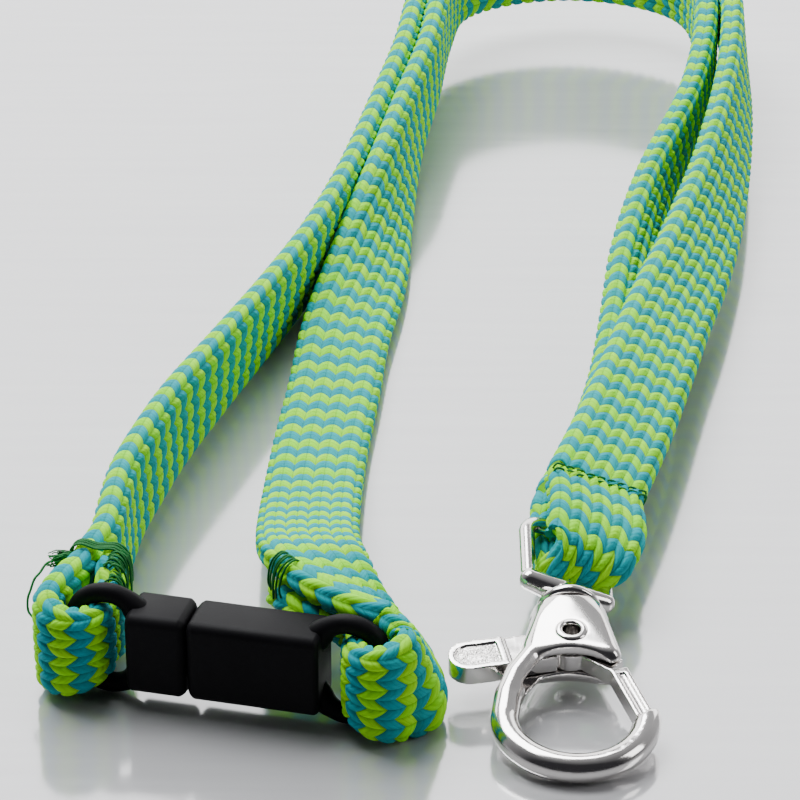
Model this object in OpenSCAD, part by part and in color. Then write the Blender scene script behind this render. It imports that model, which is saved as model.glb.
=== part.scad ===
// Neck lanyard laid out on a table: a flat braided strap doubled back on itself, a breakaway
// buckle that joins its two ends, and a swivelling trigger hook sewn into its middle.

/* [Strap] */
// Width of the flat braid
strap_w = 14; // [12:0.5:15]
// Thickness of the flat braid
strap_t = 3.8; // [3:0.2:4]
// Width of the braid where it spreads out over a fold
fold_w = 15; // [14:0.5:15]
// Width of the braid where it is bunched up to pass through a buckle ring
ring_gather_w = 10.2; // [8:0.2:10.4]
// Width of the braid where it is bunched up to pass through the swivel eye
eye_gather_w = 8.2; // [7:0.2:8.4]
// Thickness of the sewing thread
thread_d = 0.6; // [0.4:0.1:0.8]

/* [Buckle] */
// Height of both buckle halves as they stand on edge
buckle_h = 11.4; // [10:0.2:12]
// Depth of both buckle halves from front to back
buckle_d = 7.6; // [6.8:0.2:8]
// Length of the short half, which carries the prongs
plug_len = 8; // [7:0.5:9]
// Length of the long half, which takes the prongs
socket_len = 17.5; // [16:0.5:18]
// Thickness of the round rod that each end ring is made of
ring_rod_d = 2.6; // [2.2:0.2:2.8]
// Outer height of the end rings
ring_h = 16; // [15:0.5:17]
// Size of the bevels round the joint
buckle_bevel = 0.9; // [0.4:0.1:1.2]

/* [Hook] */
// Thickness of the round hook arm
hook_rod_d = 3.8; // [3.4:0.2:4]
// Radius of the hook's bend along the middle of the arm
hook_bend_r = 9; // [8.5:0.25:9.5]
// Distance from the rivet to the centre of the hook's bend
hook_reach = 13.5; // [13:0.25:14]
// Thickness of the hook's hollow body
body_t = 6.2; // [6:0.2:6.6]
// Thickness of the gate and of the thumb lever inside the body
gate_t = 2.5; // [2.2:0.1:2.6]
// Length of the thumb lever from the rivet to its round end
lever_len = 16.2; // [15:0.2:17]
// Width of the thumb lever
lever_w = 5.5; // [5:0.1:6]
// Radius of the hollow rivet that the gate turns on
rivet_r = 1.5; // [1.3:0.1:1.6]
// Thickness of the swivel eye's wire
eye_rod_d = 2.2; // [2:0.1:2.3]
// Width of the swivel eye over its legs
eye_w = 13.2; // [13:0.1:13.4]

/* [Hidden] */
$fn = 48;

// Where the buckle's joint stands, and how far it is turned from the X axis
buckle_at = [-34.5, -111, ring_h / 2];
buckle_yaw = -14;
// Where the hook's rivet is, how far the hook leans up towards the eye, and the eye's swivel angle
rivet_at = [14.1, -107, 5.42];
hook_lean = 9;
eye_roll = 22;

half_t = strap_t / 2;
rod_r = ring_rod_d / 2;
ring_corner_r = 4.5;
ring_bar_x = 7.7;
fold_r = rod_r + 0.15 + half_t;
fold_drop = -0.4;
fit_gap = 0.05;
slot_t = gate_t + 0.4;
eye_bar_v = 24;
eye_leg_u = (eye_w - eye_rod_d) / 2;
eye_rod_r = eye_rod_d / 2;
arm_r = hook_rod_d / 2;
tip_cut_r = 16.3;

// ---------- the braid as a swept solid ----------

// Outline of the braid across its width: [share of half the width, share of half the thickness]
braid_outline = [[1, -0.4], [1, 0.4], [0.88, 0.85], [0.6, 1], [-0.6, 1], [-0.88, 0.85],
                 [-1, 0.4], [-1, -0.4], [-0.88, -0.85], [-0.6, -1], [0.6, -1], [0.88, -0.85]];
sides = len(braid_outline);

function unit(v) = v / norm(v);
function place_of(q) = [q[0], q[1], q[2]];

// One point of a smooth curve through b and c, with a and d as the points on either side
function curve_point(a, b, c, d, t) =
    0.5 * (2 * b + (c - a) * t + (2 * a - 5 * b + 4 * c - d) * t * t
           + (3 * b - a - 3 * c + d) * t * t * t);

// A route with extra points set in between each pair: every entry is [x, y, z, roll, width]
function smooth(p, n) =
    [for (i = [0 : len(p) - 2]) for (k = [0 : n - 1])
        curve_point(p[max(i - 1, 0)], p[i], p[i + 1], p[min(i + 2, len(p) - 1)], k / n),
     p[len(p) - 1]];

// The braid's outline at one point of its route. A roll of 0 lies flat and 90 stands on edge.
function braid_ring(q, i) =
    let (
        t = unit(place_of(q[min(i + 1, len(q) - 1)]) - place_of(q[max(i - 1, 0)])),
        side = unit(cross(t, [0, 0, 1])),
        up = cross(side, t),
        w = cos(q[i][3]) * side + sin(q[i][3]) * up,
        n = cross(w, t)
    )
    [for (s = braid_outline) place_of(q[i]) + w * s[0] * q[i][4] / 2 + n * s[1] * half_t];

module braid(route, steps = 3) {
    q = smooth(route, steps);
    last = len(q) - 1;
    points = [for (i = [0 : last]) each braid_ring(q, i)];
    walls = [for (i = [0 : last - 1]) for (k = [0 : sides - 1])
        let (
            a = i * sides + k,
            b = i * sides + (k + 1) % sides
        )
        each [[a, b, b + sides], [a, b + sides, a + sides]]];
    start_cap = [for (k = [0 : sides - 1]) sides - 1 - k];
    end_cap = [for (k = [0 : sides - 1]) last * sides + k];
    polyhedron(points, concat(walls, [start_cap, end_cap]), convexity = 8);
}

// ---------- placing ----------

module at_buckle() {
    translate(buckle_at)
        rotate([0, 0, buckle_yaw])
            children();
}

module at_hook() {
    translate(rivet_at)
        rotate([hook_lean, 0, 0])
            children();
}

module at_eye() {
    at_hook()
        rotate([0, eye_roll, 0])
            children();
}

// A point given along the buckle, across it and up, in the lanyard's own frame
function buckle_point(x, y, z) =
    [buckle_at[0] + x * cos(buckle_yaw) - y * sin(buckle_yaw),
     buckle_at[1] + x * sin(buckle_yaw) + y * cos(buckle_yaw),
     buckle_at[2] + z];

// A point given in the swivel eye's frame, in the lanyard's own frame
function eye_point(u, v, w) =
    let (
        x = u * cos(eye_roll) + w * sin(eye_roll),
        z = w * cos(eye_roll) - u * sin(eye_roll)
    )
    rivet_at + [x, v * cos(hook_lean) - z * sin(hook_lean), v * sin(hook_lean) + z * cos(hook_lean)];

// ---------- breakaway buckle ----------

// A block with round long edges, cut from x1 to x2, with bevels on the ends that ask for them
module buckle_block(x1, x2, bevel_1, bevel_2, shrink = 0) {
    h = buckle_h - 2 * shrink;
    d = buckle_d - 2 * shrink;
    edge_r = 1.1;
    intersection() {
        translate([x1, 0, 0])
            rotate([90, 0, 90])
                linear_extrude(x2 - x1)
                    union() {
                        square([d - 2 * edge_r, h], center = true);
                        square([d, h - 2 * edge_r], center = true);
                        for (a = [-1, 1])
                            for (b = [-1, 1])
                                translate([a * (d / 2 - edge_r), b * (h / 2 - edge_r)])
                                    circle(edge_r);
                    }
        rotate([90, 0, 0])
            linear_extrude(d + 2, center = true)
                polygon([[x1, -h / 2 + bevel_1], [x1 + bevel_1, -h / 2], [x2 - bevel_2, -h / 2],
                         [x2, -h / 2 + bevel_2], [x2, h / 2 - bevel_2], [x2 - bevel_2, h / 2],
                         [x1 + bevel_1, h / 2], [x1, h / 2 - bevel_1]]);
        linear_extrude(h + 2, center = true)
            polygon([[x1, -d / 2 + bevel_1], [x1 + bevel_1, -d / 2], [x2 - bevel_2, -d / 2],
                     [x2, -d / 2 + bevel_2], [x2, d / 2 - bevel_2], [x2 - bevel_2, d / 2],
                     [x1 + bevel_1, d / 2], [x1, d / 2 - bevel_1]]);
    }
}

// The D ring that the braid is folded over, drawn towards +X from the end face at x = 0
module end_ring() {
    arc_x = ring_bar_x - ring_corner_r;
    arc_z = ring_h / 2 - rod_r - ring_corner_r;
    difference() {
        union() {
            for (s = [-1, 1])
                translate([arc_x, 0, s * arc_z])
                    rotate([90, 0, 0])
                        rotate([0, 0, s > 0 ? 0 : 210])
                            rotate_extrude(angle = 150)
                                translate([ring_corner_r, 0])
                                    circle(rod_r);
            translate([ring_bar_x, 0, 0])
                cylinder(h = 2 * arc_z, r = rod_r, center = true);
        }
        translate([-4, -4, -10])
            cube([4, 8, 20]);
    }
}

module plug_body() {
    color("#17171a")
        at_buckle()
            buckle_block(-plug_len, -0.1, 0.6, buckle_bevel);
}

module plug_ring() {
    color("#17171a")
        at_buckle()
            translate([-plug_len, 0, 0])
                mirror([1, 0, 0])
                    end_ring();
}

// A central guide with a sprung prong above and below it
module plug_prongs() {
    color("#202024")
        at_buckle()
            union() {
                translate([-0.1, -1.5, -1])
                    cube([9.5, 3, 2]);
                for (s = [-1, 1]) {
                    translate([-0.1, -1.2, s * 2.6 - 0.6])
                        cube([10.5, 2.4, 1.2]);
                    translate([8.2, -1.2, s * 2.9 - 0.6])
                        cube([2.2, 2.4, 1.2]);
                }
            }
}

module socket_body() {
    color("#17171a")
        at_buckle()
            difference() {
                buckle_block(0.1, socket_len, buckle_bevel, 0.6);
                translate([-1, -1.8, -3.8])
                    cube([13, 3.6, 7.6]);
            }
}

module socket_ring() {
    color("#17171a")
        at_buckle()
            translate([socket_len, 0, 0])
                end_ring();
}

// ---------- braid ----------

// Half-turn of the braid round an upright bar at [bar_x, 0], from angle a1 to angle a2
function fold_route(bar_x, r, a1, a2, w1, w2, n = 8) =
    [for (k = [0 : n])
        let (a = a1 + (a2 - a1) * k / n)
        [bar_x + r * cos(a), r * sin(a) * (sin(a) < 0 ? 1.25 : 1), fold_drop * k / n, 90,
         w1 + (w2 - w1) * k / n]];

plug_bar_x = -plug_len - ring_bar_x;
plug_loop_route = concat(
    [[plug_bar_x + 2, 12.4, 0, 90, strap_w], [plug_bar_x + 2.2, 8.5, 0, 90, strap_w],
     [plug_bar_x + 3.1, 4.6, 0, 90, 12]],
    fold_route(plug_bar_x, fold_r, 20, -200, ring_gather_w, fold_w),
    [[plug_bar_x - 2.6, 5, -0.3, 90, fold_w], [plug_bar_x - 2, 9, -0.1, 90, strap_w],
     [plug_bar_x - 1.95, 14, 0, 90, strap_w]]);

socket_bar_x = socket_len + ring_bar_x;
// The short end of the braid comes from under the strap, through the ring and round its bar
socket_loop_route = concat(
    [[9.7, 17.9, 0, 9, strap_w], [14, 11.8, 0.4, 22, strap_w],
     [18.6, 8.2, -0.2, 40, 12.5], [21.3, 5.2, -0.6, 66, 11]],
    fold_route(socket_bar_x, fold_r, 165, 340, ring_gather_w, fold_w),
    [[socket_bar_x + 4.2, 0.8, -0.4, 104, fold_w], [socket_bar_x + 3.7, 3, 0, 112, fold_w],
     [socket_bar_x + 2.4, 5, 0.7, 120, fold_w]]);

// The strap's left run: from the plug's seam away from the buckle, round the far turn and back
// down to the hook, where it is the upper of the two layers
left_run_start = buckle_point(plug_bar_x - 1.95, 14.4, 0);
left_run_next = buckle_point(plug_bar_x - 1.95, 18.4, 0);
left_run_end = eye_point(4, eye_bar_v + 9, 2);
left_run_route = [
    [left_run_start[0], left_run_start[1], 8, 90, strap_w],
    [left_run_next[0], left_run_next[1], 8, 90, strap_w],
    [-46, -74, 8.2, 92, strap_w],
    [-43.6, -62, 8.2, 92, strap_w],
    [-40.4, -49, 8, 90, strap_w],
    [-34.8, -31, 7.6, 86, strap_w],
    [-28.4, -11, 7.3, 84, strap_w],
    [-22.2, 9, 7.6, 84, strap_w],
    [-16.6, 31, 8.6, 86, strap_w],
    [-11.6, 54, 10.6, 89, strap_w],
    [-7.2, 76, 12.8, 90, strap_w],
    [-4.6, 96, 14.4, 90, strap_w],
    [-0.6, 114.8, 14.7, 90, strap_w],
    [9.8, 125.2, 14.7, 90, strap_w],
    [24, 129, 14.7, 90, strap_w],
    [38.2, 125.2, 14.7, 90, strap_w],
    [48.6, 114.8, 14.7, 90, strap_w],
    [52.4, 98, 14.4, 88, strap_w],
    [51.9, 78, 13.6, 80, strap_w],
    [49.4, 56, 12.2, 70, strap_w],
    [44.6, 28, 10.8, 56, strap_w],
    [38.6, 2, 10.3, 42, strap_w],
    [33.2, -18, 10.4, 32, strap_w],
    [28.6, -37, 10.6, 25, strap_w],
    [24.4, -54, 10.7, 22, strap_w],
    [20.8, -67, 10.9, 21, strap_w],
    [left_run_end[0], left_run_end[1], left_run_end[2], 21, strap_w]];

// The strap's right run: from behind the socket's ring, flat along the table, up on edge inside
// the far turn and back down to the hook, where it is the lower layer
right_run_start = buckle_point(socket_bar_x + 2.3, 5.1, 0.75);
right_run_next = buckle_point(socket_bar_x - 0.5, 7.4, 2.1);
right_run_end = eye_point(4, eye_bar_v + 9, -2);
right_run_route = [
    [right_run_start[0], right_run_start[1], right_run_start[2], 120, fold_w],
    [right_run_next[0], right_run_next[1], right_run_next[2], 131, fold_w],
    [-11.8, -107.8, 11.3, 141, fold_w],
    [-16, -102.8, 12.4, 156, strap_w],
    [-19, -95.6, 12.2, 171, strap_w],
    [-20.3, -87, 9.6, 178, strap_w],
    [-20.6, -76, 6.4, 180, strap_w],
    [-20.4, -62, 3.4, 180, strap_w],
    [-19.6, -46, 2.2, 180, strap_w],
    [-18, -28, 2.2, 178, strap_w],
    [-16.4, -10, 3.2, 170, strap_w],
    [-13.2, 9, 5, 146, strap_w],
    [-10, 31, 8, 116, strap_w],
    [-6.9, 54, 10.4, 98, strap_w],
    [-3, 76, 12.8, 91, strap_w],
    [-0.6, 96, 14.4, 90, strap_w],
    [2.9, 112.8, 14.7, 90, strap_w],
    [11.8, 121.7, 14.7, 90, strap_w],
    [24, 125, 14.7, 90, strap_w],
    [36.2, 121.7, 14.7, 90, strap_w],
    [45.1, 112.8, 14.7, 90, strap_w],
    [47.9, 98, 14.2, 90, strap_w],
    [46.2, 78, 12.4, 88, strap_w],
    [41.8, 56, 10.6, 86, strap_w],
    [34.6, 28, 9.2, 72, strap_w],
    [30.6, 2, 8.2, 50, strap_w],
    [28.8, -18, 7.2, 34, strap_w],
    [26.4, -37, 6.6, 26, strap_w],
    [22.8, -54, 6.7, 22, strap_w],
    [19.3, -67, 7, 21, strap_w],
    [right_run_end[0], right_run_end[1], right_run_end[2], 21, strap_w]];

// The fold that the swivel eye hangs in, drawn as if its bar stood upright at the origin
hook_fold_r = eye_rod_r + 0.35 + half_t;
hook_loop_route = concat(
    [[2, 8.8, -4, 90, strap_w], [2.4, 6, -2.4, 90, 12.6], [hook_fold_r - 0.1, 2.8, -1, 90, 10.4],
     [hook_fold_r, 0, -0.3, 90, eye_gather_w]],
    [for (k = [0 : 8])
        let (a = -180 * k / 8)
        [hook_fold_r * cos(a), -5 + hook_fold_r * sin(a), 0, 90, eye_gather_w]],
    [[-hook_fold_r, 0, -0.3, 90, eye_gather_w], [-hook_fold_r + 0.1, 2.8, -1, 90, 10.4],
     [-2.4, 6, -2.4, 90, 12.6], [-2, 8.8, -4, 90, strap_w]]);

module plug_strap_loop() {
    color("#8fd82a")
        at_buckle()
            braid(plug_loop_route);
}

module socket_strap_loop() {
    color("#8fd82a")
        at_buckle()
            braid(socket_loop_route);
}

module strap_left_run() {
    color("#58cf4a")
        braid(left_run_route);
}

module strap_right_run() {
    color("#58cf4a")
        braid(right_run_route);
}

module hook_strap_loop() {
    color("#8fd82a")
        at_eye()
            translate([0, eye_bar_v, 0])
                rotate([0, -90, 0])
                    braid(hook_loop_route);
}

// ---------- sewing ----------

// Overcast stitches that bind the two layers of the plug's loop along their top edges
module plug_stitches() {
    color("#0f7a34")
        at_buckle()
            for (k = [0 : 6])
                translate([plug_bar_x, 7 + 0.9 * k, strap_w / 2 + thread_d / 2])
                    rotate([0, 90, 12])
                        cylinder(h = 6.4, r = thread_d / 2, center = true, $fn = 16);
}

// A thread end that has worked loose and stands out from the outer layer in a bow
module loose_thread() {
    bow_r = 5.4;
    color("#0f7a34")
        at_buckle()
            translate([plug_bar_x - fold_r - half_t + 2.6, 5.6, 2.2])
                rotate([0, 0, 35])
                    rotate([90, 0, 0])
                        rotate([0, 0, 125])
                            rotate_extrude(angle = 115)
                                translate([bow_r, 0])
                                    circle(0.2, $fn = 16);
}

// Overcast stitches round the left edge of the right run and of the short end sewn under it
module socket_stitches() {
    color("#0f7a34")
        for (k = [0 : 4])
            translate([-26.9, -98.5 + 1.4 * k, 11.4])
                cylinder(h = 6.4, r = thread_d / 2, center = true, $fn = 16);
}

// Two rows of stitches across the upper layer, where the hook's fold is sewn shut
module hook_stitches() {
    color("#0f7a34")
        at_eye()
            for (row = [0 : 1])
                for (k = [0 : 5])
                    translate([-1.4 + 2.2 * k, eye_bar_v + 7.6 + 0.8 * row, 2 + half_t + thread_d / 2])
                        rotate([0, 90, 0])
                            cylinder(h = 1.5, r = thread_d / 2, center = true, $fn = 16);
}

// ---------- swivel ----------

// Closed wire frame whose foot is a bar with a short round neck
module swivel_eye() {
    corner_r = 2.6;
    foot_v = 11.7;
    leg_top = eye_bar_v - corner_r;
    color("silver")
        at_eye()
            union() {
                for (s = [-1, 1]) {
                    translate([s * eye_leg_u, foot_v, 0])
                        rotate([-90, 0, 0])
                            cylinder(h = leg_top - foot_v, r = eye_rod_r);
                    translate([s * (eye_leg_u - corner_r), leg_top, 0])
                        rotate([0, 0, s > 0 ? 0 : 90])
                            rotate_extrude(angle = 90)
                                translate([corner_r, 0])
                                    circle(eye_rod_r);
                }
                translate([0, eye_bar_v, 0])
                    rotate([0, 90, 0])
                        cylinder(h = 2 * (eye_leg_u - corner_r), r = eye_rod_r, center = true);
                hull() {
                    for (s = [-1, 1])
                        translate([s * (eye_leg_u - 0.15), foot_v - 0.1, 0])
                            sphere(1.45, $fn = 32);
                    translate([0, 11, 0])
                        sphere(1.9, $fn = 32);
                }
                hull() {
                    translate([0, 10.8, 0])
                        sphere(1.9, $fn = 32);
                    translate([0, 8.7, 0])
                        rotate([-90, 0, 0])
                            cylinder(h = 0.8, r = 2.7, $fn = 32);
                }
            }
}

module swivel_post() {
    color("silver")
        at_hook()
            translate([0, 4.6, 0])
                rotate([-90, 0, 0])
                    cylinder(h = 4.1, r = 1.4);
}

module post_head() {
    color("silver")
        at_hook()
            translate([0, 3.7, 0])
                rotate([-90, 0, 0])
                    cylinder(h = 0.9, r = 2.2);
}

// ---------- hook ----------

// Flattened ball used to blend the body into the arm
module body_ball(u, v, r, half_height) {
    translate([u, v, 0])
        scale([1, 1, half_height / r])
            sphere(r, $fn = 32);
}

// Hollow wedge between two plates, open below and at the left for the gate and the lever
module hook_body() {
    color("silver")
        at_hook()
            difference() {
                union() {
                    difference() {
                        hull() {
                            body_ball(-4.7, -2.6, 2.4, body_t / 2);
                            body_ball(4.9, -3.2, 1.8, body_t / 2);
                            translate([0, 6, 0])
                                scale([1.3, 1, 1])
                                    rotate([-90, 0, 0])
                                        cylinder(h = 1, r = 3.75, $fn = 48);
                            translate([0, 2, 0])
                                cylinder(h = body_t + 0.3, r = 4.4, center = true, $fn = 32);
                        }
                        translate([-0.3, -11, 0])
                            cylinder(h = 12, r = 8, center = true, $fn = 96);
                    }
                    hull() {
                        body_ball(-hook_bend_r, -hook_reach, arm_r, arm_r);
                        body_ball(-8.5, -9.8, arm_r, 2.3);
                    }
                    hull() {
                        body_ball(-8.5, -9.8, arm_r, 2.3);
                        body_ball(-7.3, -6.4, arm_r, 2.8);
                    }
                    hull() {
                        body_ball(-7.3, -6.4, arm_r, 2.8);
                        body_ball(-5.2, -3, arm_r, body_t / 2);
                    }
                }
                translate([-12, -8.4, -slot_t / 2])
                    cube([24, 13.1, slot_t]);
                translate([0, 3.3, 0])
                    rotate([-90, 0, 0])
                        cylinder(h = 1.6, r = 2.5);
                rotate([-90, 0, 0])
                    cylinder(h = 9, r = 1.4 + fit_gap);
                cylinder(h = 12, r = rivet_r + 0.01, center = true);
            }
}

// Round arm from the body's lower end round the bend to the tip, which the gate's arc trims
module hook_bend() {
    tip_angle = 10;
    color("silver")
        at_hook()
            difference() {
                translate([0, -hook_reach, 0])
                    rotate([0, 0, 180])
                        rotate_extrude(angle = 180 + tip_angle)
                            translate([hook_bend_r, 0])
                                circle(arm_r);
                intersection() {
                    cylinder(h = 8, r = tip_cut_r, center = true, $fn = 128);
                    translate([3, -20, -4])
                        cube([14, 20, 8]);
                }
            }
}

module hook_collar() {
    color("silver")
        at_hook()
            translate([0, 7, 0])
                rotate([-90, 0, 0])
                    difference() {
                        union() {
                            cylinder(h = 0.5, r1 = 3.9, r2 = 4.3);
                            translate([0, 0, 0.5])
                                cylinder(h = 0.5, r = 4.3);
                            translate([0, 0, 1])
                                cylinder(h = 0.4, r1 = 4.3, r2 = 3.8);
                        }
                        translate([0, 0, -1])
                            cylinder(h = 4, r = 1.4 + fit_gap);
                    }
}

// Tubular rivet with a rolled rim on both faces of the body
module rivet() {
    rim_z = body_t / 2 + 0.15;
    color("silver")
        at_hook()
            difference() {
                union() {
                    cylinder(h = 2 * rim_z, r = rivet_r, center = true);
                    for (s = [-1, 1])
                        translate([0, 0, s * rim_z])
                            rotate_extrude()
                                translate([rivet_r, 0])
                                    circle(0.45);
                }
                cylinder(h = 12, r = 1.1, center = true);
            }
}

// ---------- gate ----------

gate_root = [5.7, -4.6];
gate_tip = [8.6, -13.4];
gate_bar_w = 2.3;
gate_angle = atan2(gate_tip[1] - gate_root[1], gate_tip[0] - gate_root[0]);
lever_angle = 191.5;

// Flat hub on the rivet, with a pocket for the spring and a web down to the bar
module gate_hub() {
    color("silver")
        at_hook()
            difference() {
                union() {
                    cylinder(h = gate_t, r = 3, center = true);
                    rotate([0, 0, atan2(gate_root[1], gate_root[0])])
                        translate([0, -1.4, -gate_t / 2])
                            cube([norm(gate_root), 2.8, gate_t]);
                }
                cylinder(h = 6, r = rivet_r + fit_gap, center = true);
                translate([0, 0, 0.1])
                    cylinder(h = 3, r = 2.5);
            }
}

// Channelled bar that closes the hook's mouth, trimmed to an arc about the rivet
module gate_bar() {
    bar_len = norm(gate_tip - gate_root) + 2;
    color("silver")
        at_hook()
            intersection() {
                difference() {
                    translate([gate_root[0], gate_root[1], 0])
                        rotate([0, 0, gate_angle])
                            difference() {
                                translate([0.6, -gate_bar_w / 2, -gate_t / 2])
                                    cube([bar_len, gate_bar_w, gate_t]);
                                for (s = [-1, 1])
                                    translate([1.5, -0.45, s * gate_t / 2 - 0.3])
                                        cube([bar_len, 0.9, 0.6]);
                            }
                    rotate([0, 0, atan2(gate_root[1], gate_root[0])])
                        translate([-1, -1.4, -3])
                            cube([norm(gate_root) + 1, 2.8, 6]);
                }
                cylinder(h = 8, r = tip_cut_r - 0.2, center = true, $fn = 128);
            }
}

// Thumb tab with a raised rim round a sunk pad on both faces
module thumb_lever() {
    tab_t = gate_t + 0.3;
    end_x = lever_len - lever_w / 2;
    root_x = 8.6;
    color("silver")
        at_hook()
            rotate([0, 0, lever_angle])
                difference() {
                    union() {
                        translate([2.4, -lever_w / 2 + 0.2, -gate_t / 2])
                            cube([root_x - 2.4, lever_w - 0.4, gate_t]);
                        translate([root_x, 0, 0])
                            linear_extrude(tab_t, center = true)
                                union() {
                                    translate([0, -lever_w / 2])
                                        square([end_x - root_x, lever_w]);
                                    translate([end_x - root_x, 0])
                                        circle(lever_w / 2);
                                }
                    }
                    cylinder(h = 6, r = 3, center = true);
                    for (s = [-1, 1])
                        translate([root_x + 0.9, 0, s * tab_t / 2])
                            linear_extrude(0.6, center = true)
                                union() {
                                    translate([0, -lever_w / 2 + 0.9])
                                        square([end_x - root_x - 0.9, lever_w - 1.8]);
                                    translate([end_x - root_x - 0.9, 0])
                                        circle(lever_w / 2 - 0.9);
                                }
                }
}

// Coil that turns the gate shut, in the hub's pocket
module gate_spring() {
    wire_r = 0.2;
    color("gray")
        at_hook()
            for (k = [0 : 1])
                translate([0, 0, 0.35 + 0.42 * k])
                    rotate_extrude()
                        translate([2.05, 0])
                            circle(wire_r, $fn = 16);
}

plug_body();
plug_ring();
plug_prongs();
plug_strap_loop();
plug_stitches();
loose_thread();
socket_body();
socket_ring();
socket_strap_loop();
socket_stitches();
strap_left_run();
strap_right_run();
hook_strap_loop();
hook_stitches();
swivel_eye();
swivel_post();
post_head();
hook_body();
hook_bend();
hook_collar();
rivet();
gate_hub();
gate_bar();
thumb_lever();
gate_spring();
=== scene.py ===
import math

import bmesh
import bpy
import numpy as np
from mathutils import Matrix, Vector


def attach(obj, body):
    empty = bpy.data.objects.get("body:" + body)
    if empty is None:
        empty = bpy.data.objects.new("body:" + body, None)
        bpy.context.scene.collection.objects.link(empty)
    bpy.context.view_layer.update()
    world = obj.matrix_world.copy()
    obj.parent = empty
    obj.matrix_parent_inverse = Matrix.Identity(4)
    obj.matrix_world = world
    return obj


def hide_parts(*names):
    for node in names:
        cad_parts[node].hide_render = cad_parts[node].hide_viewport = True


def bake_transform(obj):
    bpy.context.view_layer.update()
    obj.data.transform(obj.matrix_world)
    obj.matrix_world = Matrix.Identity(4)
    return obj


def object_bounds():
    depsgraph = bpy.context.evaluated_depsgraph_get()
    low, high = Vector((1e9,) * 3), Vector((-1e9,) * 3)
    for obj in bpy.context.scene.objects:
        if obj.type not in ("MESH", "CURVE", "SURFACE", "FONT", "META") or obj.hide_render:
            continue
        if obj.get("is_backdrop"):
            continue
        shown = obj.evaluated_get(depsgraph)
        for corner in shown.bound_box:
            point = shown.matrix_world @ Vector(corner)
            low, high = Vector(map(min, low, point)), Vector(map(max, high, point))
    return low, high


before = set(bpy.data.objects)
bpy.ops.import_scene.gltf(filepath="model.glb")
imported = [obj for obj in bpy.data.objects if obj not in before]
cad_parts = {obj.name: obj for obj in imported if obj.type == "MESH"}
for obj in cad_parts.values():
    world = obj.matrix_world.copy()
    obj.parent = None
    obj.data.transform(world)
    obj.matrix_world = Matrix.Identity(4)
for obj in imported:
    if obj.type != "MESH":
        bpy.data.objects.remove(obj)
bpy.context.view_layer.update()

# ---- Outer half of the strap --------------------------------------------------------------
# A flat tubular braid of lime and turquoise polyester yarn, about 14 mm wide and 4 mm thick.
# Its short end is doubled through the plug's ring, and from there it runs up the left side,
# round the far turn and down to the hook, where it is the upper of two layers.

BUCKLE_AT = np.array([-34.5, -111.0, 8.0])
BUCKLE_YAW = math.radians(-14)
PLUG_BAR = -15.7
STRAP_W = 14.0
STRAP_T = 3.8
FOLD_W = 15.0
RING_GATHER_W = 10.2
FOLD_R = 3.35
FOLD_DROP = -0.4
EYE_BAR = 24.0
RIVET_AT = np.array([14.1, -107.0, 5.42])
HOOK_LEAN = math.radians(9)
EYE_ROLL = math.radians(22)


def buckle_place(points):
    """Buckle coordinates (along, across, up) to the object's frame, in mm: a turn of the yaw
    about the vertical, then the move to the buckle's joint."""
    p = np.asarray(points, float)
    c, s = math.cos(BUCKLE_YAW), math.sin(BUCKLE_YAW)
    turned = np.stack([p[..., 0] * c - p[..., 1] * s, p[..., 0] * s + p[..., 1] * c, p[..., 2]], -1)
    return turned + BUCKLE_AT


def hook_place(points):
    """Hook coordinates (across, up the hook, out of its face) to the object's frame, in mm: a
    lean about the X axis, then the move to the rivet."""
    p = np.asarray(points, float)
    c, s = math.cos(HOOK_LEAN), math.sin(HOOK_LEAN)
    leaned = np.stack([p[..., 0], p[..., 1] * c - p[..., 2] * s, p[..., 1] * s + p[..., 2] * c], -1)
    return leaned + RIVET_AT


def eye_place(points):
    """Swivel eye coordinates to the object's frame: a roll about the hook's long axis, then the
    hook's own placing."""
    p = np.asarray(points, float)
    c, s = math.cos(EYE_ROLL), math.sin(EYE_ROLL)
    rolled = [p[..., 0] * c + p[..., 2] * s, p[..., 1], p[..., 2] * c - p[..., 0] * s]
    return hook_place(np.stack(rolled, -1))


def unit(v):
    """Each vector over its own length."""
    return v / np.maximum(np.linalg.norm(v, axis=-1, keepdims=True), 1e-12)


def even_line(route, step=0.4, between=24):
    """The Catmull-Rom curve through the rows of a route, read off again at equal steps of its
    length."""
    r = np.asarray(route, float)
    index = np.arange(len(r) - 1)
    a, b, c, d = (r[np.clip(index + k, 0, len(r) - 1)][:, None, :] for k in (-1, 0, 1, 2))
    t = np.linspace(0, 1, between, endpoint=False)[None, :, None]
    q = 0.5 * (2 * b + (c - a) * t + (2 * a - 5 * b + 4 * c - d) * t ** 2
               + (3 * b - a - 3 * c + d) * t ** 3)
    q = np.vstack([q.reshape(-1, r.shape[1]), r[-1:]])
    s = np.r_[0, np.cumsum(np.linalg.norm(np.diff(q[:, :3], axis=0), axis=1))]
    even = np.linspace(0, s[-1], max(2, int(round(s[-1] / step))) + 1)
    return np.stack([np.interp(even, s, q[:, k]) for k in range(q.shape[1])], 1), s[-1]


def outward(points, faces):
    """The faces, turned over if the closed surface they make has a negative volume."""
    tri = np.vstack([faces[:, [0, 1, 2]], faces[:, [0, 2, 3]]]) if faces.shape[1] == 4 else faces
    a, b, c = (points[tri[:, k]] for k in range(3))
    return faces[:, ::-1] if np.einsum("ij,ij->i", a, np.cross(b, c)).sum() < 0 else faces


def tube_faces(rows, around, wrap_rows=False):
    """Four-sided faces of a grid whose rows are closed rings, and whose last row may meet its
    first."""
    i = np.arange(rows if wrap_rows else rows - 1)[:, None]
    j = np.arange(around)[None, :]
    i2, j2 = (i + 1) % rows, (j + 1) % around
    corners = [i * around + j, i * around + j2, i2 * around + j2, i2 * around + j]
    return np.stack(corners, -1).reshape(-1, 4)


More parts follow.
